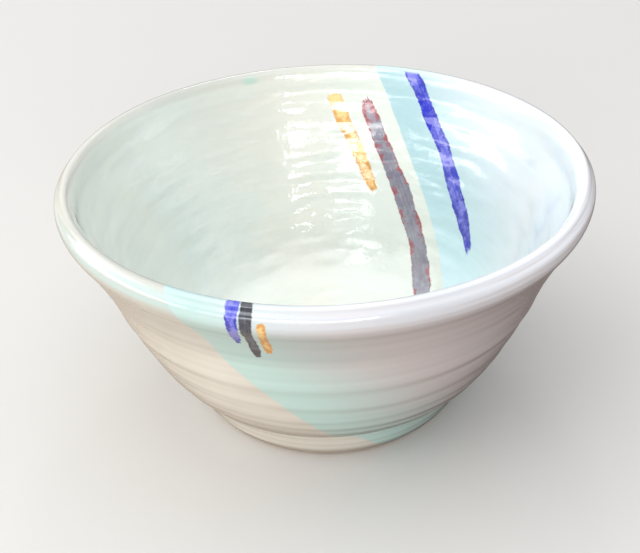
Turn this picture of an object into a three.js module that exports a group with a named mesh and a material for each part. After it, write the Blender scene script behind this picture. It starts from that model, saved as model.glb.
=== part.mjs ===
// Wheel-thrown ceramic bowl with a trimmed foot ring, a flared wall and a rolled rim.
// Millimetres, +Z up, origin under the middle of the foot, where the bowl stands.
import * as THREE from "three";

// Overall size
const RIM_RADIUS = 80; // the widest place, half way up the rolled rim
const HEIGHT = 80;

// Foot ring
const FOOT_RADIUS = 41.2; // outer edge of the ring's flat standing face
const FOOT_FACE_WIDTH = 5;
const FOOT_EDGE = 0.8; // wiped bevel on the ring's inner edge
const FOOT_HEIGHT = 12.8; // turned groove between the ring and the wall
const FOOT_TOP_RADIUS = 47.8; // the ring's side flares up to this, just under the groove
const RECESS_DEPTH = 3.8; // hollow turned under the bowl, inside the ring
const RECESS_COVE = 3; // radius of the cove between ring and hollow

// Wall
const WALL_THICKNESS = 4.2;
const WALL_BOTTOM = 13.9; // height where the plain outer wall starts
const WALL_TOP = 69.2; // height where the wall rolls out into the rim
const WALL_TOP_RADIUS = 76.9;

// Rolled rim
const RIM_BULGE_HEIGHT = 75.4; // height of the widest place
const LIP_THICKNESS = 3.2;
const LIP_SET_IN = 1.4; // the lip's outer side lies this far inside the widest place

// Inner floor
const FLOOR_HEIGHT = 9.2; // top of the clay at the middle of the bowl
const FLOOR_RADIUS = 34; // nearly flat inside this, sweeping up into the wall outside it
const FLOOR_SWEEP_TOP = 16.6; // height where the sweep meets the inner wall

// Soft ridges left by the thrower's fingers
const OUTER_RIDGE_PITCH = 12.4;
const OUTER_RIDGE_HEIGHT = 0.2;
const INNER_RIDGE_PITCH = 12.4;
const INNER_RIDGE_HEIGHT = 0.15;
const SAMPLES_PER_RIDGE = 4;

const SEGMENTS = 64; // facets around the bowl

const GLAZE_COLOUR = 0xe4e6df;
const GLAZE_ROUGHNESS = 0.18;

const point = (radius, height) => new THREE.Vector2(radius, height);

// The height of a soft ridge above the plain wall, for a distance along it.
function ridge(distance, pitch, height) {
  return height * Math.cos((2 * Math.PI * distance) / pitch);
}

// The plain outer wall: a slight belly low down, nearly straight above, opening a little under the rim.
function outerWall() {
  return new THREE.SplineCurve([
    point(49.6, WALL_BOTTOM),
    point(53.7, 18.6),
    point(58.8, 27),
    point(63.6, 37.6),
    point(68.2, 48.8),
    point(72.9, 60.2),
    point(WALL_TOP_RADIUS, WALL_TOP),
  ]);
}

// Points along a curve, each moved square to it by the ridges and by a fixed offset.
// The side is +1 to move to the right of the direction of travel and -1 to move to its left.
function ridgedPoints(curve, pitch, ridgeHeight, offset, side) {
  const length = curve.getLength();
  const steps = Math.round((length / pitch) * SAMPLES_PER_RIDGE);
  const points = [];
  for (let step = 0; step <= steps; step += 1) {
    const share = step / steps;
    const at = curve.getPointAt(share);
    const along = curve.getTangentAt(share);
    const move = side * (offset + ridge(share * length, pitch, ridgeHeight));
    points.push(point(at.x + along.y * move, at.y - along.x * move));
  }
  return points;
}

// An arc about a centre, from one angle to another, both in degrees.
function arcPoints(centre, radius, fromDegrees, toDegrees, steps) {
  const points = [];
  for (let step = 0; step <= steps; step += 1) {
    const angle = THREE.MathUtils.degToRad(fromDegrees + ((toDegrees - fromDegrees) * step) / steps);
    points.push(point(centre.x + radius * Math.cos(angle), centre.y + radius * Math.sin(angle)));
  }
  return points;
}

// The hollow under the bowl and the ring round it, from the axis out to the groove above the ring.
function footPoints() {
  const faceInner = FOOT_RADIUS - FOOT_FACE_WIDTH;
  const coveCentre = point(faceInner - FOOT_EDGE - RECESS_COVE, RECESS_DEPTH - RECESS_COVE);
  return [
    point(0, RECESS_DEPTH),
    ...arcPoints(coveCentre, RECESS_COVE, 90, 0, 3),
    point(faceInner, 0),
    point(FOOT_RADIUS, 0),
    point(FOOT_RADIUS + 1.3, 1.2),
    point(FOOT_TOP_RADIUS - 3, 4.4),
    point(FOOT_TOP_RADIUS - 1.7, 7.6),
    point(FOOT_TOP_RADIUS - 0.5, FOOT_HEIGHT - 2),
    point(FOOT_TOP_RADIUS, FOOT_HEIGHT - 0.5),
    point(FOOT_TOP_RADIUS + 0.1, FOOT_HEIGHT),
  ];
}

// The rolled rim, from the top of the wall over the lip and down inside.
function rimPoints() {
  const lipCentre = point(RIM_RADIUS - LIP_SET_IN - LIP_THICKNESS / 2, HEIGHT - LIP_THICKNESS / 2);
  return [
    point(RIM_RADIUS - 1.35, RIM_BULGE_HEIGHT - 3.4),
    point(RIM_RADIUS - 0.5, RIM_BULGE_HEIGHT - 1.6),
    point(RIM_RADIUS, RIM_BULGE_HEIGHT),
    point(RIM_RADIUS - 0.25, RIM_BULGE_HEIGHT + 1.8),
    ...arcPoints(lipCentre, LIP_THICKNESS / 2, 20, 160, 6),
  ];
}

// The inner wall, parallel to the outer one, from the rim down to where the floor starts.
function innerWallPoints() {
  const wall = ridgedPoints(outerWall(), INNER_RIDGE_PITCH, INNER_RIDGE_HEIGHT, WALL_THICKNESS, -1);
  return wall.reverse().filter((at) => at.y > FLOOR_SWEEP_TOP);
}

// The floor, a shallow sweep that ends on the axis.
function floorPoints() {
  return [
    point(FLOOR_RADIUS + 9.5, FLOOR_HEIGHT + 4.6),
    point(FLOOR_RADIUS + 5.5, FLOOR_HEIGHT + 2.8),
    point(FLOOR_RADIUS, FLOOR_HEIGHT + 1.4),
    point(FLOOR_RADIUS * 0.7, FLOOR_HEIGHT + 0.5),
    point(0, FLOOR_HEIGHT),
  ];
}

// One closed body of clay, turned about the bowl's axis.
function makeBowl() {
  const outside = ridgedPoints(outerWall(), OUTER_RIDGE_PITCH, OUTER_RIDGE_HEIGHT, 0, 1);
  const profile = [...footPoints(), ...outside, ...rimPoints(), ...innerWallPoints(), ...floorPoints()];
  const geometry = new THREE.LatheGeometry(profile, SEGMENTS);
  geometry.rotateX(Math.PI / 2);
  const glaze = new THREE.MeshStandardMaterial({
    color: GLAZE_COLOUR,
    roughness: GLAZE_ROUGHNESS,
    metalness: 0,
  });
  const bowl = new THREE.Mesh(geometry, glaze);
  bowl.name = "bowl";
  return bowl;
}

const group = new THREE.Group();
group.name = "ceramic_bowl";
group.add(makeBowl());

export default group;
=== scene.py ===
"""A wheel-thrown ceramic bowl, dipped in an aqua glaze over a pale one and painted with brushed stripes.

Metres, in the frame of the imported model: +Z up, origin on the floor under the middle of the foot,
+X to the right of the camera and +Y away from it. Profile sizes are written in millimetres.
"""
import math
from types import SimpleNamespace

import bpy
import numpy as np
from mathutils import Matrix, Vector


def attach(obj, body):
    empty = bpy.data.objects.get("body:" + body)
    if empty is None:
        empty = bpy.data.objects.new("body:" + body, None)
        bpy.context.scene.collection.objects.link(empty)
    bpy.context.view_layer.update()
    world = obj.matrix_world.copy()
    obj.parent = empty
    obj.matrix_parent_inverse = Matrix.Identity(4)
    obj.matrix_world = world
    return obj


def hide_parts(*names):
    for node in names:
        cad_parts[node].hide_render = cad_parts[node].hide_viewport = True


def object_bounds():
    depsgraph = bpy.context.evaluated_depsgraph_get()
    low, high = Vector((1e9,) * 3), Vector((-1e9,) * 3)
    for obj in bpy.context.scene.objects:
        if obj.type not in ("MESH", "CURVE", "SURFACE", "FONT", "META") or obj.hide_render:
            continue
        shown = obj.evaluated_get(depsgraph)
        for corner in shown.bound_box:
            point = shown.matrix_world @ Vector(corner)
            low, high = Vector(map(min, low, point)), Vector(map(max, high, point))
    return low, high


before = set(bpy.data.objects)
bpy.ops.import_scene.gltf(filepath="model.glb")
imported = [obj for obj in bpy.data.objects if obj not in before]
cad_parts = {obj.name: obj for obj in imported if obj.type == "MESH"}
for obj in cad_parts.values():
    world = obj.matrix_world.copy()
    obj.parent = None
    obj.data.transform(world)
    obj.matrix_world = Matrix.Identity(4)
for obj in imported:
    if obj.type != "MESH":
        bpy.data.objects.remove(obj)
CAD_LOW, CAD_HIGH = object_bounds()

MM = 0.001

# Overall size, taken from the frame
RIM_RADIUS = CAD_HIGH.x / MM
HEIGHT = CAD_HIGH.z / MM

# Profile of the bowl, in millimetres
RECESS_RADIUS = 32.4
RECESS_DEPTH = 3.8
FOOT_INNER_RADIUS = 36.2
FOOT_RADIUS = 41.2
FOOT_GROOVE_RADIUS = 48.0
FOOT_GROOVE_HEIGHT = 12.8
WALL_BOTTOM = 13.9
WALL_TOP = 69.2
WALL_TOP_RADIUS = 77.2
BULGE_HEIGHT = 75.4
LIP_THICKNESS = 3.2
LIP_SET_IN = 1.4
WALL_THICKNESS = 4.2
FLOOR_HEIGHT = 9.2
FLOOR_RADIUS = 34.0
FLOOR_SWEEP_TOP = 16.6

# Mesh density
COLUMNS = 224
ROWS = 440
PATH_SAMPLES = 60  # fine points between two knots before the rows are spaced out
SEAM_TURN = -0.75 * math.pi  # the UV map's seam lies at this turn from the back

# Throwing and turning marks on the outside: height on the wall, width and proudness, in millimetres
FINGER_RIDGES = (
    (58.4, 2.0, 0.08),
    (45.4, 1.9, 0.21),
    (36.6, 2.4, 0.22),
    (28.4, 1.4, 0.11),
    (24.4, 1.7, 0.17),
    (18.9, 1.4, 0.15),
)
RIDGE_TILT = 0.3  # the ridges climb this much from the middle to the right, and fall as much to the left
RIDGE_WAVER = 0.3
HOLLOW = (57.0, 12.0, 0.5)  # where the wall dips in a little: its height, its reach each way and its depth
TURNED_OFF = 0.6  # the groove above the foot is this much shallower on the left and deeper on the right
GROOVE_REACH = 2.2

# Uneven marks of the fingers, as a sum of waves: how many, the shortest and longest pitch up the wall
# in millimetres, the most waves round the bowl, the proudness of them all together and a seed
INNER_MARKS = (24, 6.5, 11.0, 40, 0.085, 5)
INNER_FINE_MARKS = (36, 2.6, 4.6, 56, 0.015, 6)
OUTER_MARKS = (18, 3.0, 9.0, 8, 0.014, 8)
BACK_EMPHASIS = 0.80  # share of the inner marks that is only at the back, where the hand pressed

# Rings on the rest of the bowl: pitch and proudness, in millimetres
FLOOR_RINGS = (6.5, 0.03)
FOOT_RINGS = (1.7, 0.12)
UNDERSIDE_RINGS = (3.4, 0.08)

# Where the marks lie: from none to all of them, and from all to none again
OUTER_WALL_HEIGHTS = (13.6, 17.0, 66.0, 70.0)
FOOT_HEIGHTS = (1.5, 3.0, 10.0, 12.0)
FLOOR_RADII = (2.0, 10.0, 28.0, 40.0)
UNDERSIDE_RADII = (2.0, 8.0, 28.0, 31.0)

# How the wall departs from round, and how the lip rises and falls: waves round the bowl, size and
# phase. The wall's sizes are shares of its radius and the lip's are in millimetres
OUT_OF_ROUND = ((2, 0.0022, 0.9), (3, 0.0012, 2.1))
LIP_WAVES = ((2, 0.22, -0.6), (5, 0.12, 0.0))

# Where the slanted bowl was dipped: two planes, at the back and at the front, that blend between.
# A pair is where a thing starts and where it is complete
DIP_BACK = (0.863, -0.195, 0.466)
DIP_BACK_REACH = 40.1 * MM
DIP_FRONT = (0.813, -0.225, 0.536)
DIP_FRONT_REACH = 25.3 * MM
DIP_BLEND = (24 * MM, -40 * MM)  # from the back plane to the front one, along Y
DIP_BOW = 2.6 * MM  # the front line bows this far out between the rim and the foot
DIP_BOW_TOP = (68 * MM, 55 * MM)
DIP_BOW_FOOT = (8 * MM, 16 * MM)
DIP_RUN = 2.0 * MM  # the glaze ran this much further down, below the height where the wall turns in
DIP_RUN_TOP = (30 * MM, 10 * MM)
DIP_WANDER = 1.2 * MM

# Bands round the lip, as distances from it in metres, above 0 inside: middle, outer and full reach
RIM_BAND = (-0.003, 0.0080, 0.0035)
LIP_BAND = (-0.002, 0.0040, 0.0015)
VEIL_BAND = (-0.004, 0.0034, 0.0014)

# The cream patch inside and the green spot under the back rim, as turns from the back in radians
CREAM_TURN = -0.26
CREAM_REACH = (0.56, 0.10)
SPOT_TURN = -0.345
SPOT_FROM_LIP = 0.0034
SPOT_SCALE = (18.0, 480.0)  # one over its reach across, in radians, and down, in metres

# Heights where a tone of the glaze starts and where it is complete
HIGH_INSIDE = (25 * MM, 65 * MM)
LOW_INSIDE = (50 * MM, 18 * MM)
UNDER_RIM = (55.5 * MM, 60.5 * MM)
IN_GROOVE = (11.2 * MM, 13.0 * MM)
UNDER_WALL = (18.5 * MM, 14.0 * MM)

# The same for distances past the dip line
DIPPED = (-0.2 * MM, 0.3 * MM)
AQUA_FADES = (4 * MM, 40 * MM)
AQUA_CLEARS = (4 * MM, 24 * MM)

# Brightness left by painted shade high up inside and on the lip top, by a greyer tone under the rim, and by
# painted shade in the groove above the foot and on the foot's right side
HIGH_INSIDE_SHADE = (0.84, 0.84, 0.84, 1.0)
LIP_SHADE = (0.90, 0.90, 0.90, 1.0)
UNDER_RIM_TONE = (0.87, 0.88, 0.89, 1.0)
FOOT_PAINTED_SHADE = (0.50, 0.50, 0.50, 1.0)
WHITE = (1.0, 1.0, 1.0, 1.0)

GLAZE_ROUGHNESS = 0.22
CLAY_ROUGHNESS = 0.85
COAT_ROUGHNESS = 0.04
RELIEF_DEPTH = 0.16 * MM

# The surround: how bright it is near the floor and overhead, and how bright the camera sees it
SURROUND_TINT = (0.95, 0.97, 1.0, 1.0)
SURROUND_LEVEL = 0.12
OVERHEAD_LEVEL = 1.9
SEEN_LEVEL = 0.65
FLOOR_HALF_WIDTH = 4.0

# Light panels: turn from the camera's side towards +X and rise from the floor, in degrees, distance,
# width, height, how bright the face looks, and tint
DAYLIGHT = (1.0, 1.0, 1.0)
WARM_LIGHT = (1.0, 0.985, 0.965)
PANELS = {
    "window_right": (14.5, 18.5, 2.0, 0.29, 0.48, 14.0, DAYLIGHT),
    "window_middle": (-12.0, 18.5, 2.0, 0.46, 0.48, 10.0, DAYLIGHT),
    "window_left": (-27.5, 18.5, 2.0, 0.30, 0.46, 5.0, DAYLIGHT),
    "window_glow": (-9.0, 23.0, 2.1, 1.95, 0.95, 0.2, DAYLIGHT),
    "high_front": (-37.0, 52.0, 2.0, 0.55, 0.60, 3.0, DAYLIGHT),
    "low_front": (-18.0, 9.0, 1.9, 2.2, 0.56, 2.7, DAYLIGHT),
    "low_left": (-82.0, 10.0, 1.8, 2.0, 0.66, 3.6, WARM_LIGHT),
    "high_left": (-95.0, 28.0, 1.8, 1.9, 1.2, 1.35, WARM_LIGHT),
    "behind": (180.0, 28.0, 2.0, 2.4, 1.2, 0.5, DAYLIGHT),
    "skylight": (174.0, 52.0, 2.0, 0.24, 0.16, 11.0, DAYLIGHT),
}
PANEL_AIM = (0.0, 0.0, 0.05)

# The photograph's camera
IMAGE_WIDTH = 640
FOCAL_PIXELS = 1000.0
SENSOR_WIDTH = 36.0
CAMERA_PLACE = (0.0, -0.27062, 0.21425)
CAMERA_PAN = -0.007
CAMERA_TILT = 0.0931
CAMERA_ROLL = math.radians(-2.16)
EXPOSURE = 0.05


def colour(red, green, blue):
    """A screen colour of 0 to 255 as the linear colour that shaders use."""
    share = np.array([red, green, blue]) / 255.0
    linear = np.where(share <= 0.04045, share / 12.92, ((share + 0.055) / 1.055) ** 2.4)
    return (*(float(value) for value in linear), 1.0)


# The first glaze. Where it has two colours, a pattern mixes them
GREEN_GLAZE = (colour(226, 232, 222), colour(233, 237, 227))
WARM_GLAZE = (colour(214, 210, 198), colour(226, 222, 211))
CREAM_PATCH = colour(236, 233, 220)
RIM_SHADED_GLAZE = (colour(198, 199, 189), colour(228, 227, 216))  # in general and at the far left
RIM_VEIL = colour(190, 216, 214)
GREEN_SPOT = colour(176, 222, 206)

# The aqua glaze, beside its line and far from it
AQUA_OUTSIDE = (colour(193, 223, 217), colour(213, 205, 204))
# Inside, painted shade high up and painted light low down, which even out the shade the rim casts on the
# lower wall
AQUA_SHADED_HIGH_INSIDE = (colour(182, 214, 219), colour(220, 229, 236))
AQUA_LIT_LOW_INSIDE = (colour(211, 238, 243), colour(236, 243, 249))
# Over the rim, beside the line and far from it, and at the right front: darker beside the line partly as a
# painted shade, lighter at the right front as a painted light
AQUA_RIM = (colour(196, 207, 210), colour(214, 217, 223))
AQUA_RIM_PAINTED_LIGHT = colour(248, 250, 255)

# What shows through or breaks through the glaze
SPECK = colour(120, 108, 92)
BROKEN_LINE = colour(176, 172, 160)
CLAY = (colour(205, 178, 146), colour(224, 204, 176))

# Paints: thin, thick and pooled at the edge
COBALT = (colour(128, 130, 216), colour(32, 42, 178), colour(26, 34, 160))
IRON = (colour(158, 156, 166), colour(124, 120, 134), colour(164, 66, 70))
OCHRE = (colour(240, 206, 140), colour(228, 170, 84), colour(204, 138, 56))
BLACK = (colour(92, 96, 112), colour(48, 50, 60), colour(36, 38, 46))

# The board under the bowl, and what it throws back at the right and at the left
BOARD = (colour(200, 198, 194), colour(206, 204, 201))
THROWN_BACK = (colour(116, 103, 98), colour(168, 156, 143))

# Stripes down the inner wall: offset from the dip line, start and end along Y, and the brush stroke
STRIPES = (
    (COBALT, dict(offset=0.0115, start=0.0715, end=0.024, bow=0.0015,
                  half_width=0.0025, swell=0.2, dryness=0.14, seed=3.0)),
    (IRON, dict(offset=-0.0085, start=0.070, end=0.018, bow=0.0012,
                half_width=0.0033, swell=0.4, dryness=0.08, seed=7.0)),
    (OCHRE, dict(offset=-0.0175, start=0.073, end=0.056, bow=0.0,
                 half_width=0.0024, swell=-0.2, dryness=0.20, seed=11.0)),
)

# Dashes over the front rim: turn from the front, start and end outside the lip, and the brush stroke
DASHES = (
    (COBALT, dict(turn=-0.296, start=-0.0016, end=0.0165, half_width=0.0016, seed=21.0)),
    (BLACK, dict(turn=-0.243, start=-0.0012, end=0.0235, half_width=0.0015, seed=23.0)),
    (OCHRE, dict(turn=-0.200, start=0.0050, end=0.0205, half_width=0.0012, seed=29.0)),
)
DASH_SWELL = -0.1
DASH_DRYNESS = 0.16


def smooth(value, low, high):
    """A smooth step from 0 at low to 1 at high."""
    share = np.clip((value - low) / (high - low), 0.0, 1.0)
    return share * share * (3.0 - 2.0 * share)


def between(value, start, full, fall, end):
    """A smooth rise from 0 at start to 1 at full, and a fall from 1 at fall to 0 at end."""
    return smooth(value, start, full) * smooth(-value, -end, -fall)


def waves(angle, terms):
    """A sum of sine waves round the bowl, each given as its count, size and phase."""
    return sum(size * np.sin(count * angle + phase) for count, size, phase in terms)


# The profile, as knots of radius and height

def arc(centre, radius, start, end, steps):
    """Knots on a circle about a centre, between two angles in degrees."""
    angle = np.radians(np.linspace(start, end, steps))
    return np.stack([centre[0] + radius * np.cos(angle), centre[1] + radius * np.sin(angle)], axis=1)


def underside_knots():
    """The hollow turned under the bowl, nearly flat, then a cove down to the foot ring."""
    return np.array([
        (0.0, RECESS_DEPTH),
        (RECESS_RADIUS * 0.4, RECESS_DEPTH - 0.1),
        (RECESS_RADIUS * 0.8, RECESS_DEPTH),
        (RECESS_RADIUS, RECESS_DEPTH - 0.05),
        (RECESS_RADIUS + 1.6, RECESS_DEPTH - 0.5),
        (RECESS_RADIUS + 2.6, RECESS_DEPTH - 1.5),
        (RECESS_RADIUS + 3.0, 1.0),
    ])


def foot_knots():
    """The ring's flat face with its wiped edges, then its flared side up to the groove."""
    return np.array([
        (FOOT_INNER_RADIUS - 0.35, 0.25),
        (FOOT_INNER_RADIUS + 0.3, 0.0),
        ((FOOT_INNER_RADIUS + FOOT_RADIUS) / 2, 0.0),
        (FOOT_RADIUS - 0.4, 0.0),
        (FOOT_RADIUS + 0.35, 0.22),
        (FOOT_RADIUS + 1.4, 1.3),
        (FOOT_RADIUS + 3.6, 4.4),
        (FOOT_RADIUS + 4.9, 7.6),
        (FOOT_GROOVE_RADIUS - 0.8, FOOT_GROOVE_HEIGHT - 2.2),
        (FOOT_GROOVE_RADIUS - 0.3, FOOT_GROOVE_HEIGHT - 0.9),
        (FOOT_GROOVE_RADIUS - 0.1, FOOT_GROOVE_HEIGHT - 0.1),
        (FOOT_GROOVE_RADIUS + 0.6, FOOT_GROOVE_HEIGHT + 0.4),
    ])


def outer_wall_knots():
    """A slight belly low down, nearly straight above, opening a little under the rim."""
    return np.array([
        (49.7, WALL_BOTTOM),
        (53.7, 18.6),
        (58.8, 27.0),
        (63.6, 37.6),
        (68.2, 48.8),
        (72.9, 60.2),
        (WALL_TOP_RADIUS, WALL_TOP),
    ])


def rim_knots():
    """The rolled rim, from the top of the wall, over the lip and a little way down inside."""
    lip = (RIM_RADIUS - LIP_SET_IN - LIP_THICKNESS / 2, HEIGHT - LIP_THICKNESS / 2)
    roll = np.array([
        (RIM_RADIUS - 1.10, BULGE_HEIGHT - 3.4),
        (RIM_RADIUS - 0.30, BULGE_HEIGHT - 1.6),
        (RIM_RADIUS, BULGE_HEIGHT + 0.2),
        (RIM_RADIUS - 0.25, BULGE_HEIGHT + 2.0),
    ])
    return np.vstack([roll, arc(lip, LIP_THICKNESS / 2, 20, 150, 5)])


def inner_wall_knots():
    """The outer wall moved in by the wall's thickness, square to it, down to where the floor starts."""
    wall = outer_wall_knots()
    along = np.gradient(wall, axis=0)
    along /= np.linalg.norm(along, axis=1, keepdims=True)
    inner = wall + WALL_THICKNESS * np.stack([-along[:, 1], along[:, 0]], axis=1)
    return inner[inner[:, 1] > FLOOR_SWEEP_TOP][::-1]


def floor_knots():
    """The sweep from the wall into a nearly flat floor that ends on the axis."""
    return np.array([
        (FLOOR_RADIUS + 9.5, FLOOR_HEIGHT + 4.6),
        (FLOOR_RADIUS + 5.0, FLOOR_HEIGHT + 2.7),
        (FLOOR_RADIUS, FLOOR_HEIGHT + 1.4),
        (FLOOR_RADIUS * 0.7, FLOOR_HEIGHT + 0.5),
        (FLOOR_RADIUS * 0.35, FLOOR_HEIGHT + 0.1),
        (0.0, FLOOR_HEIGHT),
    ])


def smooth_path(knots):
    """A curve through the knots: between two of them a cubic that leaves and meets them on the slopes
    of their neighbours, taken over the chord lengths. Gives fine points and each point's distance."""
    chord = np.r_[0.0, np.cumsum(np.linalg.norm(np.diff(knots, axis=0), axis=1))]
    slope = np.gradient(knots, chord, axis=0)
    slope[0] = slope[-1] = (1.0, 0.0)
    slope[-1, 0] = -1.0
    share = np.linspace(0.0, 1.0, PATH_SAMPLES, endpoint=False)[None, :, None]
    span = np.diff(chord)[:, None, None]
    start, end = knots[:-1, None, :], knots[1:, None, :]
    leave, arrive = slope[:-1, None, :] * span, slope[1:, None, :] * span
    cube, square = share ** 3, share ** 2
    points = (
        (2 * cube - 3 * square + 1) * start
        + (cube - 2 * square + share) * leave
        + (3 * square - 2 * cube) * end
        + (cube - square) * arrive
    ).reshape(-1, 2)
    points = np.vstack([points, knots[-1]])
    points[:, 1] = np.maximum(points[:, 1], 0.0)
    return points, np.r_[0.0, np.cumsum(np.linalg.norm(np.diff(points, axis=0), axis=1))]


def spaced_rows(points, distance):
    """Rows along the path, each an equal share of a density that is high on the walls, the rim and the
    foot ring's edges and low under the foot and on the floor."""
    radius, height = points.T
    wall = smooth(height, 12.0, 22.0)
    rim = smooth(height, 68.0, 71.0)
    edge = np.exp(-((radius - (FOOT_INNER_RADIUS + FOOT_RADIUS) / 2) / 6.0) ** 2) * (height < 3.0)
    density = 1.0 + 1.6 * wall + 0.6 * rim + 1.3 * edge
    filled = np.r_[0.0, np.cumsum(np.diff(distance) * (density[1:] + density[:-1]) / 2)]
    return np.interp(np.linspace(0.0, filled[-1], ROWS), filled, distance)


def finger_marks(along, angle, marks):
    """A sum of equal cosine waves in random directions, each with its own pitch along the profile
    and a whole number of waves round the bowl, so that the marks merge and split on their way round."""
    count, shortest, longest, most_round, proud, seed = marks
    random = np.random.default_rng(seed)
    total = np.zeros(np.broadcast_shapes(along.shape, angle.shape))
    for _ in range(count):
        pitch = shortest * (longest / shortest) ** random.random()
        turns = np.round(most_round * (2 * random.random() - 1) * random.random())
        total += np.cos(2 * np.pi * (along / pitch + random.random()) + turns * angle)
    return total * proud * math.sqrt(2 / count)


def outer_ridges(height, angle):
    """Soft finger ridges, each a bell-shaped band with a shallow crease under it, on circles that are
    tilted a little and waver, over a wide shallow hollow in the upper wall, which is a blunt wedge."""
    level = height - RIDGE_TILT * np.sin(angle)
    middle, reach, depth = HOLLOW
    ridges = -depth * np.maximum(1.0 - np.hypot((level - middle) / reach, 0.12), 0.0)
    for place, width, proud in FINGER_RIDGES:
        off = level - place - RIDGE_WAVER * np.sin(2 * angle + place)
        fade = 0.85 + 0.15 * np.sin(3 * angle + place)
        ridges += fade * proud * np.exp(-(off / width) ** 2)
        ridges -= fade * 0.1 * proud * np.exp(-((off / width + 1.6) / 0.6) ** 2)
    return ridges


def rings(distance, shift, marks):
    """Even rings: a cosine of the distance, shifted by an angle."""
    pitch, proud = marks
    return proud * np.cos(2 * np.pi * distance / pitch + shift)


def relief(radius, height, from_lip, angle):
    """How far the marks of throwing and turning move each point out, square to the surface, in
    millimetres: a sum of each kind of mark times a mask of where it lies. The inner marks are weaker
    away from the back, by a power of the cosine of the angle."""
    outside = from_lip < 0
    on_outer_wall = between(height, *OUTER_WALL_HEIGHTS) * outside
    on_inner_wall = smooth(from_lip, 3.0, 9.0) * smooth(radius, 2.0, 12.0)
    on_floor = between(radius, *FLOOR_RADII) * (from_lip > 0)
    on_foot = between(height, *FOOT_HEIGHTS) * outside
    in_groove = np.exp(-((height - FOOT_GROOVE_HEIGHT) / GROOVE_REACH) ** 2) * outside
    under = between(radius, *UNDERSIDE_RADII) * (from_lip < -60.0)
    pressed = 1.0 - BACK_EMPHASIS * (1.0 - ((1.0 + np.cos(angle)) / 2.0) ** 1.5)
    lift = on_outer_wall * (outer_ridges(height, angle) + finger_marks(height, angle, OUTER_MARKS))
    lift = lift + on_inner_wall * pressed * finger_marks(from_lip, angle, INNER_MARKS)
    lift = lift + on_inner_wall * pressed * finger_marks(from_lip, angle, INNER_FINE_MARKS)
    lift = lift + on_floor * rings(radius, angle, FLOOR_RINGS)
    lift = lift + on_foot * rings(height, 0.4 * np.sin(angle), FOOT_RINGS)
    lift = lift - in_groove * TURNED_OFF * np.sin(angle)
    return lift + under * rings(radius, angle, UNDERSIDE_RINGS)


def bowl_surface():
    """The whole bowl as one surface of two parameters: the distance along the profile and the angle
    round the axis. Each point is the profile turned by the angle, moved square to the surface by the
    throwing marks, with a slight departure from round that grows towards the rim."""
    path, distance = smooth_path(np.vstack([
        underside_knots(), foot_knots(), outer_wall_knots(), rim_knots(), inner_wall_knots(), floor_knots(),
    ]))
    lip = distance[np.argmax(path[:, 1])]
    rows = spaced_rows(path, distance)
    along = np.stack([np.gradient(path[:, 0], distance), np.gradient(path[:, 1], distance)], axis=1)
    along /= np.linalg.norm(along, axis=1, keepdims=True)
    radius, height, along_r, along_z = (
        np.interp(rows, distance, values)[:, None] for values in (*path.T, *along.T))
    angle = (np.arange(COLUMNS) / COLUMNS * 2 * np.pi + SEAM_TURN)[None, :]
    from_lip = (rows - lip)[:, None]
    lift = relief(radius, height, from_lip, angle)

    out_of_round = 1.0 + smooth(height, 10.0, HEIGHT) * waves(angle, OUT_OF_ROUND)
    lip_wave = smooth(height, 60.0, HEIGHT) * waves(angle, LIP_WAVES)
    round_radius = np.maximum((radius + lift * along_z) * out_of_round, 0.0)
    place = np.stack([
        round_radius * np.sin(angle),
        round_radius * np.cos(angle),
        np.broadcast_to(np.maximum(height - lift * along_r + lip_wave, 0.0), round_radius.shape),
    ], axis=2)
    return place * MM, rows * MM, from_lip[:, 0] * MM


def turned_mesh(name, place, rows, from_lip):
    """A closed mesh from a grid of rows and columns. The first and the last row are one point each,
    on the axis, and the last column joins the first one. The UV map has the share of a turn across
    and the distance along the profile up."""
    middle = place[1:-1]
    count, columns = middle.shape[:2]
    points = np.vstack([place[0].mean(axis=0), middle.reshape(-1, 3), place[-1].mean(axis=0)])
    row = np.arange(count - 1)[:, None]
    column = np.arange(columns)[None, :]
    after = (column + 1) % columns
    quads = np.stack([
        1 + row * columns + column,
        1 + row * columns + after,
        1 + (row + 1) * columns + after,
        1 + (row + 1) * columns + column,
    ], axis=2).reshape(-1, 4)[:, ::-1]
    ring = np.arange(columns)
    ring_after = (ring + 1) % columns
    last = len(points) - 1
    first_fan = np.stack([np.zeros_like(ring), ring_after + 1, ring + 1], axis=1)[:, ::-1]
    last_fan = np.stack([np.full_like(ring, last), last - columns + ring, last - columns + ring_after],
                        axis=1)[:, ::-1]
    mesh = bpy.data.meshes.new(name)
    mesh.from_pydata(points.tolist(), [], quads.tolist() + first_fan.tolist() + last_fan.tolist())
    mesh.polygons.foreach_set("use_smooth", np.ones(len(mesh.polygons), dtype=bool))
    add_profile_map(mesh, rows, columns)

    lip_values = np.r_[from_lip[0], np.repeat(from_lip[1:-1], columns), from_lip[-1]]
    attribute = mesh.attributes.new("from_lip", "FLOAT", "POINT")
    attribute.data.foreach_set("value", lip_values.astype(np.float32))
    mesh.validate()
    piece = bpy.data.objects.new(name, mesh)
    bpy.context.scene.collection.objects.link(piece)
    return piece


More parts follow.
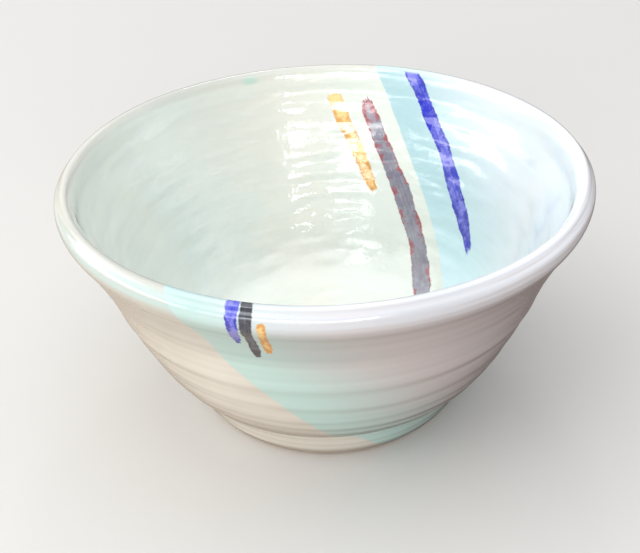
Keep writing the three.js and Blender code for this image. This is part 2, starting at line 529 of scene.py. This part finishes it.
def add_profile_map(mesh, rows, columns):
    """The UV map. On a face that crosses the seam, the corners past it count on beyond a whole turn."""
    row_of_point = np.r_[rows[0], np.repeat(rows[1:-1], columns), rows[-1]]
    turn_of_point = np.r_[0.0, np.tile(np.arange(columns) / columns, len(rows) - 2), 0.0]
    corner = np.zeros(len(mesh.loops), dtype=np.int32)
    mesh.loops.foreach_get("vertex_index", corner)
    corners_of_face = np.zeros(len(mesh.polygons), dtype=np.int32)
    mesh.polygons.foreach_get("loop_total", corners_of_face)
    face = np.repeat(np.arange(len(corners_of_face)), corners_of_face)
    turn = turn_of_point[corner]
    biggest = np.zeros(len(corners_of_face))
    np.maximum.at(biggest, face, turn)
    crosses_seam = (biggest[face] > 0.9) & (turn < 0.1)
    turn = np.where(crosses_seam, turn + 1.0, turn)
    uv = mesh.uv_layers.new(name="profile")
    uv.data.foreach_set("uv", np.stack([turn, row_of_point[corner]], axis=1).astype(np.float32).ravel())


# Shader nodes

class Nodes:
    """Adds nodes to one tree. Each method gives the new node's output socket."""

    def __init__(self, tree):
        self.tree = tree

    def add(self, kind, **settings):
        node = self.tree.nodes.new(kind)
        for name, value in settings.items():
            setattr(node, name, value)
        return node

    def join(self, source, socket):
        if isinstance(source, bpy.types.NodeSocket):
            self.tree.links.new(source, socket)
        else:
            socket.default_value = source

    def fill(self, node, **values):
        """Joins values to a node's inputs. A value's name is the input's name in lower case with
        underscores."""
        for socket in node.inputs:
            name = socket.name.lower().replace(" ", "_")
            if name in values:
                self.join(values[name], socket)
        return node

    def math(self, operation, *values):
        node = self.add("ShaderNodeMath", operation=operation)
        for value, socket in zip(values, node.inputs):
            self.join(value, socket)
        return node.outputs[0]

    def plus(self, first, *others):
        for other in others:
            first = self.math("ADD", first, other)
        return first

    def minus(self, first, second):
        return self.math("SUBTRACT", first, second)

    def times(self, first, *others):
        for other in others:
            first = self.math("MULTIPLY", first, other)
        return first

    def over(self, first, second):
        return self.math("DIVIDE", first, second)

    def rest(self, share):
        """What a share leaves of 1."""
        return self.minus(1.0, share)

    def step(self, value, low, high, from_value=0.0, to_value=1.0):
        """A smooth step of a value between two levels."""
        node = self.add("ShaderNodeMapRange", interpolation_type="SMOOTHSTEP")
        for source, socket in zip((value, low, high, from_value, to_value), node.inputs):
            self.join(source, socket)
        return node.outputs["Result"]

    def near(self, value, middle, outer, full):
        """1 within the full distance from a middle value, and 0 beyond the outer one."""
        return self.step(self.math("ABSOLUTE", self.minus(value, middle)), outer, full)

    def vector(self, operation, *values):
        node = self.add("ShaderNodeVectorMath", operation=operation)
        for value, socket in zip(values, node.inputs):
            self.join(value, socket)
        return node.outputs["Value" if operation in ("DOT_PRODUCT", "LENGTH") else "Vector"]

    def combine(self, x, y, z):
        return self.fill(self.add("ShaderNodeCombineXYZ"), x=x, y=y, z=z).outputs[0]

    def split(self, vector):
        return tuple(self.fill(self.add("ShaderNodeSeparateXYZ"), vector=vector).outputs)

    def noise(self, vector, scale, detail=2.0, roughness=0.5):
        node = self.add("ShaderNodeTexNoise")
        self.fill(node, vector=vector, scale=scale, detail=detail, roughness=roughness)
        return node.outputs["Fac"]

    def mix(self, share, first, second, kind="MIX"):
        node = self.add("ShaderNodeMix", data_type="RGBA", blend_type=kind)
        self.join(share, node.inputs["Factor"])
        self.join(first, node.inputs[6])
        self.join(second, node.inputs[7])
        return node.outputs[2]

    def tinted(self, share, ground, tint):
        """The ground colour, multiplied by a tint where the share is 1."""
        return self.mix(share, ground, self.mix(1.0, ground, tint, "MULTIPLY"))

    def group(self, tree, **values):
        """Places a node group and gives its outputs."""
        return self.fill(self.add("ShaderNodeGroup", node_tree=tree), **values).outputs


def new_group(name, inputs, outputs):
    """An empty node group with named number or vector sockets."""
    kinds = {"number": "NodeSocketFloat", "vector": "NodeSocketVector"}
    tree = bpy.data.node_groups.new(name, "ShaderNodeTree")
    for label, kind in inputs:
        tree.interface.new_socket(name=label, in_out="INPUT", socket_type=kinds[kind])
    for label, kind in outputs:
        tree.interface.new_socket(name=label, in_out="OUTPUT", socket_type=kinds[kind])
    nodes = Nodes(tree)
    start = nodes.add("NodeGroupInput")
    end = nodes.add("NodeGroupOutput")
    return nodes, start.outputs, end.inputs


def wheel_group():
    """Places on the wheel: the turn from the back in radians, the radius and height in metres, the
    distance from the lip, above 0 inside and below 0 outside, and a vector for patterns that are
    drawn out round the bowl, which has the direction from the axis across and the distance up."""
    nodes, _, end = new_group("wheel_places", (), (
        ("Place", "vector"), ("Turn", "number"), ("Radius", "number"), ("Height", "number"),
        ("From Lip", "number"), ("Ring", "vector")))
    place = nodes.add("ShaderNodeTexCoord").outputs["Object"]
    x, y, z = nodes.split(place)
    radius = nodes.vector("LENGTH", nodes.combine(x, y, 0.0))
    safe = nodes.math("MAXIMUM", radius, 0.5 * MM)
    from_lip = nodes.add("ShaderNodeAttribute", attribute_name="from_lip").outputs["Fac"]
    nodes.join(place, end["Place"])
    nodes.join(nodes.math("ARCTAN2", x, y), end["Turn"])
    nodes.join(radius, end["Radius"])
    nodes.join(z, end["Height"])
    nodes.join(from_lip, end["From Lip"])
    nodes.join(nodes.combine(nodes.over(x, safe), nodes.over(y, safe), from_lip), end["Ring"])
    return nodes.tree


def dip_group():
    """The distance past the line to which the bowl was dipped, in metres, above 0 where the second
    glaze lies. The line is cut by one plane at the back and another at the front, where it also bows
    out, with a small wander, and the glaze has run a little low down."""
    nodes, start, end = new_group("dip_line", (("Place", "vector"), ("Wander", "number")),
                                  (("Past Line", "number"),))
    place = start["Place"]
    _, y, z = nodes.split(place)
    past_back, past_front = (
        nodes.minus(nodes.vector("DOT_PRODUCT", place, plane), reach)
        for plane, reach in ((DIP_BACK, DIP_BACK_REACH), (DIP_FRONT, DIP_FRONT_REACH)))
    bow = nodes.times(nodes.step(z, *DIP_BOW_TOP), nodes.step(z, *DIP_BOW_FOOT), DIP_BOW)
    past_front = nodes.plus(past_front, bow)
    front = nodes.step(y, *DIP_BLEND)
    blend = nodes.plus(nodes.times(past_back, nodes.rest(front)), nodes.times(past_front, front))
    slow = nodes.minus(nodes.noise(place, 60.0, 2.0), 0.5)
    fast = nodes.minus(nodes.noise(place, 420.0, 1.0), 0.5)
    wander = nodes.times(nodes.plus(slow, nodes.times(fast, 0.3)), start["Wander"])
    ran = nodes.times(nodes.step(z, *DIP_RUN_TOP), DIP_RUN)
    nodes.join(nodes.plus(blend, wander, ran), end["Past Line"])
    return nodes.tree


def throwing_group():
    """Lines left by the fingers and the rib: noise drawn out round the bowl, about 0. Round is how
    many patches lie across the bowl and Pitch is their size along the profile."""
    nodes, start, end = new_group("throwing_lines", (
        ("Ring", "vector"), ("Round", "number"), ("Pitch", "number")), (("Lines", "number"),))
    across = start["Round"]
    drawn = nodes.vector("MULTIPLY", start["Ring"],
                         nodes.combine(across, across, nodes.over(1.0, start["Pitch"])))
    nodes.join(nodes.minus(nodes.noise(drawn, 1.0, 2.0, 0.55), 0.5), end["Lines"])
    return nodes.tree


def speck_group():
    """Iron specks that came through in the kiln: a dot in few of the cells of a cell pattern."""
    nodes, start, end = new_group("kiln_specks", (
        ("Place", "vector"), ("Spacing", "number"), ("Size", "number"), ("Share", "number")),
        (("Specks", "number"),))
    scale = nodes.over(1.0, start["Spacing"])
    cells = nodes.add("ShaderNodeTexVoronoi", feature="F1")
    nodes.fill(cells, vector=start["Place"], scale=scale)
    pick, size, _ = nodes.split(cells.outputs["Color"])
    chosen = nodes.math("LESS_THAN", pick, start["Share"])
    reach = nodes.times(start["Size"], scale, nodes.plus(0.4, size))
    dot = nodes.step(cells.outputs["Distance"], reach, nodes.times(reach, 0.4))
    nodes.join(nodes.times(dot, chosen), end["Specks"])
    return nodes.tree


def brush_group():
    """One brush stroke. Across is the distance from its middle line and Along runs from 0 to 1 down
    its length. The mask falls off at the half width, which narrows at both ends and wanders, and
    bristle streaks open it where the brush ran dry. Thick is how much colour lies there, and Edge is
    the pooled outline."""
    nodes, start, end = new_group("brush_stroke", (
        ("Place", "vector"), ("Across", "number"), ("Along", "number"), ("Half Width", "number"),
        ("Swell", "number"), ("Dryness", "number"), ("Seed", "number")),
        (("Mask", "number"), ("Thick", "number"), ("Edge", "number")))
    across, along, seed, dryness = (start[name] for name in ("Across", "Along", "Seed", "Dryness"))
    place = nodes.vector("ADD", start["Place"], nodes.combine(seed, 0.0, 0.0))
    sway = nodes.minus(nodes.noise(place, 45.0, 1.0), 0.5)
    wander = nodes.minus(nodes.noise(place, 130.0, 3.0, 0.6), 0.5)
    ragged = nodes.minus(nodes.noise(place, 700.0, 2.0, 0.6), 0.5)
    mottle = nodes.noise(place, 240.0, 4.0, 0.65)
    blotch = nodes.noise(place, 170.0, 4.0, 0.7)
    wash = nodes.noise(place, 65.0, 1.0)

    # Bristle streaks: noise that is fine across the stroke and drawn out along it
    bristles = nodes.combine(nodes.times(across, 1500.0), nodes.times(along, 5.0), seed)
    streak = nodes.noise(bristles, 1.0, 2.0, 0.6)

    # The outline: how far each point lies inside it
    begun = nodes.plus(along, nodes.times(streak, 0.08))
    ends = nodes.times(nodes.step(begun, 0.02, 0.06), nodes.step(begun, 1.05, 0.80))
    swell = nodes.plus(1.0, nodes.times(start["Swell"], nodes.minus(along, 0.5)))
    width = nodes.times(start["Half Width"], swell, nodes.plus(0.45, nodes.times(ends, 0.55)))
    width = nodes.plus(width, nodes.times(wander, 1.6 * MM), nodes.times(ragged, 1.0 * MM))
    swayed = nodes.plus(across, nodes.times(sway, 3.0 * MM))
    within = nodes.minus(width, nodes.math("ABSOLUTE", swayed))

    # What shows of it, how thick it lies and where it pooled
    shown = nodes.times(nodes.step(within, -0.18 * MM, 0.30 * MM), nodes.step(ends, 0.02, 0.12))
    dry = nodes.step(streak, nodes.minus(0.85, dryness), nodes.minus(0.98, dryness))
    bare = nodes.times(dry, nodes.step(along, 0.35, 1.0, 0.15, 0.9))
    nodes.join(nodes.times(shown, nodes.rest(bare)), end["Mask"])
    lying = nodes.plus(nodes.times(mottle, 0.40), nodes.times(wash, 0.40), nodes.times(streak, 0.20))
    nodes.join(nodes.step(lying, 0.40, 0.60), end["Thick"])
    pool = nodes.times(nodes.step(blotch, 0.42, 0.70), 4.2 * MM)
    nodes.join(nodes.step(within, pool, nodes.times(pool, 0.2)), end["Edge"])
    return nodes.tree


GROUPS = {
    "wheel": wheel_group(),
    "dip": dip_group(),
    "lines": throwing_group(),
    "specks": speck_group(),
    "brush": brush_group(),
}


def new_material(name):
    """A material without nodes, and the Nodes that fill it."""
    material = bpy.data.materials.new(name)
    material.use_nodes = True
    material.node_tree.nodes.clear()
    return material, Nodes(material.node_tree)


# The glaze. Each function gets the values of glaze_places as `at`

def throwing_lines(nodes, at, around, pitch):
    """The throwing lines of their node group, as a socket."""
    return nodes.group(GROUPS["lines"], ring=at.ring, round=around, pitch=pitch)["Lines"]


def glaze_places(nodes):
    """The places, noises and masks that the parts of the glaze share."""
    wheel = nodes.group(GROUPS["wheel"])
    at = SimpleNamespace(
        place=wheel["Place"], turn=wheel["Turn"], radius=wheel["Radius"], height=wheel["Height"],
        from_lip=wheel["From Lip"], ring=wheel["Ring"])
    at.rightward, at.backward, _ = nodes.split(at.ring)
    at.past_line = nodes.group(GROUPS["dip"], place=at.place, wander=DIP_WANDER)["Past Line"]
    at.dipped = nodes.step(at.past_line, *DIPPED)
    at.inside = nodes.step(at.from_lip, -1 * MM, 3 * MM)
    at.outside = nodes.rest(at.inside)
    at.rim = nodes.near(at.from_lip, *RIM_BAND)
    at.right_front = nodes.times(nodes.step(at.rightward, 0.2, 1.0), nodes.step(at.backward, 0.6, 0.0))
    at.cloud = nodes.noise(at.place, 22.0, 3.0, 0.55)
    at.grit = nodes.noise(at.place, 900.0, 3.0, 0.6)
    at.drawn = throwing_lines(nodes, at, 1.4, 6.0 * MM)
    at.rim_lines = nodes.step(throwing_lines(nodes, at, 1.2, 1.6 * MM), -0.02, 0.10)

    # Bare clay on the standing face, up to a slightly wavy glaze line
    wavy = nodes.plus(at.height, nodes.times(nodes.minus(at.cloud, 0.5), 1.2 * MM))
    on_ring = nodes.times(nodes.step(at.radius, 34.5 * MM, 35.0 * MM),
                          nodes.step(at.from_lip, -69 * MM, -71 * MM))
    at.bare = nodes.times(nodes.step(wavy, 1.3 * MM, 1.0 * MM), on_ring)
    return at


def pale_glaze(nodes, at):
    """The first glaze: grey-green inside with a cream patch at the back, warm outside and greyer over the
    rim, a painted shade that holds down the light the rim catches, paler at its far left, with a veil of
    fine aqua lines on the rim's left and one green spot."""
    shade = nodes.plus(at.cloud, nodes.times(at.drawn, 0.5))
    green = nodes.mix(nodes.step(shade, 0.35, 0.65), *GREEN_GLAZE)
    warm = nodes.mix(nodes.step(shade, 0.35, 0.65), *WARM_GLAZE)
    cream = nodes.times(nodes.near(at.turn, CREAM_TURN, *CREAM_REACH), nodes.step(shade, 0.30, 0.62), 0.8)
    glaze = nodes.mix(at.inside, warm, nodes.mix(cream, green, CREAM_PATCH))
    # Painted shade: the rim greyer, less so at its far left
    over_rim = nodes.mix(nodes.step(at.rightward, -0.60, -1.0), *RIM_SHADED_GLAZE)
    glaze = nodes.mix(nodes.times(at.rim, 0.85), glaze, over_rim)

    left = nodes.times(nodes.step(at.turn, -1.1, -1.7), nodes.step(at.turn, -2.9, -2.7))
    lined = nodes.step(at.rim_lines, 0.0, 1.0, 0.35, 0.75)
    glaze = nodes.mix(nodes.times(nodes.near(at.from_lip, *VEIL_BAND), left, lined), glaze, RIM_VEIL)

    scale_across, scale_down = SPOT_SCALE
    across = nodes.times(nodes.minus(at.turn, SPOT_TURN), scale_across)
    down = nodes.times(nodes.minus(at.from_lip, SPOT_FROM_LIP), scale_down)
    spot = nodes.vector("LENGTH", nodes.combine(across, down, 0.0))
    spot = nodes.plus(spot, nodes.times(nodes.minus(at.cloud, 0.5), 0.8))
    return nodes.mix(nodes.step(spot, 1.1, 0.2, 0.0, 0.55), glaze, GREEN_SPOT)


def aqua_glaze(nodes, at):
    """The second glaze, strongest beside its line, paler far from it and clear over the rim. Inside it is
    darker high up and lighter low down, painted shade and painted light, and over the rim it is darker
    beside the line, partly a painted shade, and lighter at the right front, a painted light.
    """
    # Painted light low down inside and painted shade high up
    low_down = nodes.step(at.height, *LOW_INSIDE)
    beside, far = (
        nodes.mix(at.inside, outside, nodes.mix(low_down, high, low))
        for outside, high, low in zip(AQUA_OUTSIDE, AQUA_SHADED_HIGH_INSIDE, AQUA_LIT_LOW_INSIDE))
    fade = nodes.step(nodes.plus(at.past_line, nodes.times(at.drawn, 10 * MM)), *AQUA_FADES)
    clear = nodes.times(at.rim, nodes.step(at.rim_lines, 0.0, 1.0, 0.9, 0.45),
                        nodes.step(at.past_line, *AQUA_CLEARS, 0.2, 1.0))
    # Over the rim: painted shade beside the line on the left, painted light at the right front
    rim_beside, rim_far = AQUA_RIM
    over_rim = nodes.mix(fade, rim_beside, nodes.mix(at.right_front, rim_far, AQUA_RIM_PAINTED_LIGHT))
    return nodes.mix(clear, nodes.mix(fade, beside, far), over_rim)


def glaze_tones(nodes, at, glaze):
    """Darker tones: painted shade high up inside, at the back and over the aqua, and on the lip top, a
    greyer tone under the rim on the left and front, and painted shade in the groove above the foot and down
    the foot's right side."""
    # Painted shade high up inside, at the back and over the aqua's back part
    shaded_aqua = nodes.times(at.dipped, nodes.step(at.backward, -0.3, 0.4))
    thin = nodes.math("MAXIMUM", shaded_aqua, nodes.step(at.backward, 0.5, 0.9))
    shaded_high_inside = nodes.times(nodes.step(at.height, *HIGH_INSIDE), at.inside)
    glaze = nodes.tinted(shaded_high_inside, glaze, nodes.mix(thin, WHITE, HIGH_INSIDE_SHADE))

    # Painted shade on the lip top, except at the right front
    shaded_lip_top = nodes.times(nodes.near(at.from_lip, *LIP_BAND), nodes.rest(at.right_front))
    glaze = nodes.tinted(shaded_lip_top, glaze, LIP_SHADE)

    # A greyer tone under the rim, on the left and front
    left_front = nodes.times(nodes.step(at.rightward, -0.15, -0.5), nodes.step(at.rightward, -1.0, -0.85))
    spared = nodes.times(at.rim, nodes.rest(left_front))
    under_rim = nodes.times(nodes.step(at.height, *UNDER_RIM), nodes.step(at.rightward, 0.45, -0.10),
                            at.outside, nodes.rest(spared))
    glaze = nodes.tinted(under_rim, glaze, UNDER_RIM_TONE)

    # Painted shade in the groove above the foot, strongest on the right, and down the foot's right side
    under_wall = nodes.step(at.height, *UNDER_WALL)
    groove = nodes.times(nodes.step(at.height, *IN_GROOVE), under_wall,
                         nodes.step(at.rightward, -0.6, 0.7, 0.15, 0.9))
    right_foot_shade = nodes.times(under_wall, nodes.step(at.rightward, 0.05, 0.75), 0.35)
    painted_foot_shade = nodes.times(nodes.math("MAXIMUM", groove, right_foot_shade), at.outside)
    return nodes.tinted(painted_foot_shade, glaze, FOOT_PAINTED_SHADE)


def stripe(nodes, at, offset, start, end, bow, **stroke):
    """A brush stroke inside the bowl, beside the dip line: offset is its distance from that line,
    bowed out by a parabola, and it runs from one distance behind the middle of the bowl to another."""
    _, y, _ = nodes.split(at.place)
    along = nodes.over(nodes.minus(start, y), start - end)
    bend = nodes.times(along, nodes.rest(along), 4.0 * bow)
    across = nodes.minus(at.past_line, nodes.plus(offset, bend))
    brushed = nodes.group(GROUPS["brush"], place=at.place, across=across, along=along, **stroke)
    inside = nodes.step(at.from_lip, 1.2 * MM, 2.2 * MM)
    return nodes.times(brushed["Mask"], inside), brushed


def dash(nodes, at, turn, start, end, **stroke):
    """A short brush stroke over the front rim, at a turn from the front in radians. It starts and ends
    at distances outside the lip."""
    x, y, _ = nodes.split(at.place)
    front_turn = nodes.math("ARCTAN2", x, nodes.times(y, -1.0))
    across = nodes.times(nodes.minus(front_turn, turn), at.radius)
    along = nodes.over(nodes.minus(nodes.times(at.from_lip, -1.0), start), end - start)
    brushed = nodes.group(GROUPS["brush"], place=at.place, across=across, along=along,
                          swell=DASH_SWELL, dryness=DASH_DRYNESS, **stroke)
    return brushed["Mask"], brushed


def brushwork(nodes, at, ground):
    """Lays the stripes and the dashes over the ground colour, each from thin to thick paint, with its
    edge colour."""
    for shape, strokes in ((stripe, STRIPES), (dash, DASHES)):
        for (thin, thick, edge), settings in strokes:
            mask, brushed = shape(nodes, at, **settings)
            paint = nodes.mix(brushed["Thick"], thin, thick)
            paint = nodes.mix(nodes.times(brushed["Edge"], 0.8), paint, edge)
            ground = nodes.mix(mask, ground, paint)
    return ground


def kiln_marks(nodes, at, ground):
    """Iron specks, lines where the glaze broke thin over the throwing marks, and the bare clay."""
    specks = nodes.group(GROUPS["specks"], place=at.place, spacing=5.2 * MM, size=0.22 * MM,
                         share=0.10)["Specks"]
    ground = nodes.mix(nodes.times(specks, 0.65), ground, SPECK)
    fine = nodes.step(throwing_lines(nodes, at, 1.0, 1.1 * MM), 0.02, 0.22)
    strength = nodes.step(at.inside, 0.0, 1.0, 0.10, 0.04)
    ground = nodes.mix(nodes.times(fine, strength), ground, BROKEN_LINE)
    return nodes.mix(at.bare, ground, nodes.mix(nodes.step(at.grit, 0.35, 0.7), *CLAY))


def fine_relief(nodes, at):
    """Relief too fine for the mesh, as the normal of a bump: lines and lumps of the throwing, strong
    at the back inside and weak elsewhere, the glaze's soft unevenness and the clay's grit."""
    at_back = nodes.times(at.inside, nodes.step(at.backward, 0.0, 0.9, 0.12, 1.0))
    height = nodes.times(nodes.noise(at.place, 260.0), 0.10)
    height = nodes.plus(height, nodes.times(at.grit, at.bare, 0.6))
    for around, pitch, weak, strong in (
        (2.2, 3.4 * MM, 0.05, 0.12),
        (18.0, 1.8 * MM, 0.03, 0.48),
        (26.0, 3.6 * MM, 0.05, 0.65),
    ):
        strength = nodes.step(at_back, 0.0, 1.0, weak, strong)
        height = nodes.plus(height, nodes.times(throwing_lines(nodes, at, around, pitch), strength))
    bump = nodes.add("ShaderNodeBump")
    return nodes.fill(bump, strength=1.0, distance=RELIEF_DEPTH, height=height).outputs[0]


def glaze_material():
    """A glossy pale glaze with the aqua glaze past the dip line, brushed stripes, iron specks and bare
    clay on the standing face."""
    material, nodes = new_material("dipped_glaze")
    at = glaze_places(nodes)
    ground = nodes.mix(at.dipped, pale_glaze(nodes, at), aqua_glaze(nodes, at))
    ground = glaze_tones(nodes, at, ground)
    ground = brushwork(nodes, at, ground)
    ground = kiln_marks(nodes, at, ground)
    normal = fine_relief(nodes, at)
    shader = nodes.fill(
        nodes.add("ShaderNodeBsdfPrincipled"),
        base_color=ground,
        roughness=nodes.step(at.bare, 0.0, 1.0, GLAZE_ROUGHNESS, CLAY_ROUGHNESS),
        normal=normal,
        coat_weight=nodes.rest(at.bare),
        coat_roughness=COAT_ROUGHNESS,
        coat_normal=normal,
    )
    nodes.fill(nodes.add("ShaderNodeOutputMaterial"), surface=shader.outputs[0])
    return material


def floor_material():
    """A pale matt board with a faint cloudiness. The light that it throws back on the bowl is held
    down, as a darker board would do, so that the side away from the key stays in shade."""
    material, nodes = new_material("pale_board")
    place = nodes.add("ShaderNodeTexCoord").outputs["Object"]
    seen = nodes.add("ShaderNodeLightPath").outputs["Is Camera Ray"]
    sideways, _, _ = nodes.split(place)
    pale = nodes.mix(nodes.noise(place, 3.0, 3.0), *BOARD)
    thrown = nodes.mix(nodes.step(sideways, 0.10, -0.10), *THROWN_BACK)
    shader = nodes.fill(nodes.add("ShaderNodeBsdfPrincipled"), roughness=0.7,
                        base_color=nodes.mix(seen, thrown, pale))
    nodes.fill(nodes.add("ShaderNodeOutputMaterial"), surface=shader.outputs[0])
    return material


# Stage, lights and camera

def add_floor():
    """A flat square floor under the bowl."""
    half = FLOOR_HALF_WIDTH
    mesh = bpy.data.meshes.new("floor")
    mesh.from_pydata([(-half, -half, 0), (half, -half, 0), (half, half, 0), (-half, half, 0)], [],
                     [(0, 1, 2, 3)])
    floor = bpy.data.objects.new("floor", mesh)
    bpy.context.scene.collection.objects.link(floor)
    mesh.materials.append(floor_material())


def add_panel(name, turn, rise, distance, width, height, radiance, tint):
    """A soft light panel that faces the bowl. Its power follows from how bright its face looks."""
    light = bpy.data.lights.new(name, "AREA")
    light.shape = "RECTANGLE"
    light.size, light.size_y = width, height
    light.energy = radiance * math.pi * width * height
    light.color = tint
    turn, rise = math.radians(turn), math.radians(rise)
    away = Vector((math.sin(turn) * math.cos(rise), -math.cos(turn) * math.cos(rise), math.sin(rise)))
    panel = bpy.data.objects.new(name, light)
    panel.location = Vector(PANEL_AIM) + away * distance
    panel.rotation_euler = away.to_track_quat("Z", "Y").to_euler()
    bpy.context.scene.collection.objects.link(panel)


def add_lights():
    """Daylight panels behind the camera, a low soft key from the left, and a little light from behind."""
    for name, settings in PANELS.items():
        add_panel(name, *settings)


def add_surround():
    """A surround that is dim near the floor and bright overhead, with no edge between the two. The
    camera sees it as pale as the floor."""
    world = bpy.data.worlds.new("pale_surround")
    world.use_nodes = True
    nodes = Nodes(world.node_tree)
    _, _, upward = nodes.split(nodes.add("ShaderNodeTexCoord").outputs["Generated"])
    level = nodes.step(upward, 0.45, 1.0, SURROUND_LEVEL, OVERHEAD_LEVEL)
    seen = nodes.add("ShaderNodeLightPath").outputs["Is Camera Ray"]
    strength = nodes.plus(nodes.times(level, nodes.rest(seen)), nodes.times(seen, SEEN_LEVEL))
    nodes.fill(world.node_tree.nodes["Background"], color=SURROUND_TINT, strength=strength)
    bpy.context.scene.world = world


def add_camera():
    """The camera of the photograph: it looks at the origin, then pans, tilts and rolls a little."""
    place = Vector(CAMERA_PLACE)
    ahead = -place.normalized()
    side = Vector((1, 0, 0))
    up = side.cross(ahead)
    look = (ahead + CAMERA_PAN * side + CAMERA_TILT * up).normalized()
    side = look.cross(Vector((0, 0, 1))).normalized()
    up = side.cross(look)
    right = math.cos(CAMERA_ROLL) * side + math.sin(CAMERA_ROLL) * up
    above = -math.sin(CAMERA_ROLL) * side + math.cos(CAMERA_ROLL) * up
    data = bpy.data.cameras.new("camera")
    data.sensor_fit = "HORIZONTAL"
    data.sensor_width = SENSOR_WIDTH
    data.lens = FOCAL_PIXELS * SENSOR_WIDTH / IMAGE_WIDTH
    data.clip_start = 0.01
    camera = bpy.data.objects.new("camera", data)
    camera.matrix_world = Matrix((right, above, -look)).transposed().to_4x4()
    camera.location = place
    bpy.context.scene.collection.objects.link(camera)
    bpy.context.scene.camera = camera


def add_bowl():
    """The bowl's fine surface, in place of the imported part bowl, which is hidden, hung under the root
    body.
    """
    piece = turned_mesh("glazed_bowl", *bowl_surface())
    piece.data.materials.append(glaze_material())
    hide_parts("bowl")
    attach(piece, "root")


add_camera()
add_floor()
add_lights()
add_surround()
add_bowl()

view = bpy.context.scene.view_settings
view.view_transform = "Standard"
view.exposure = EXPOSURE
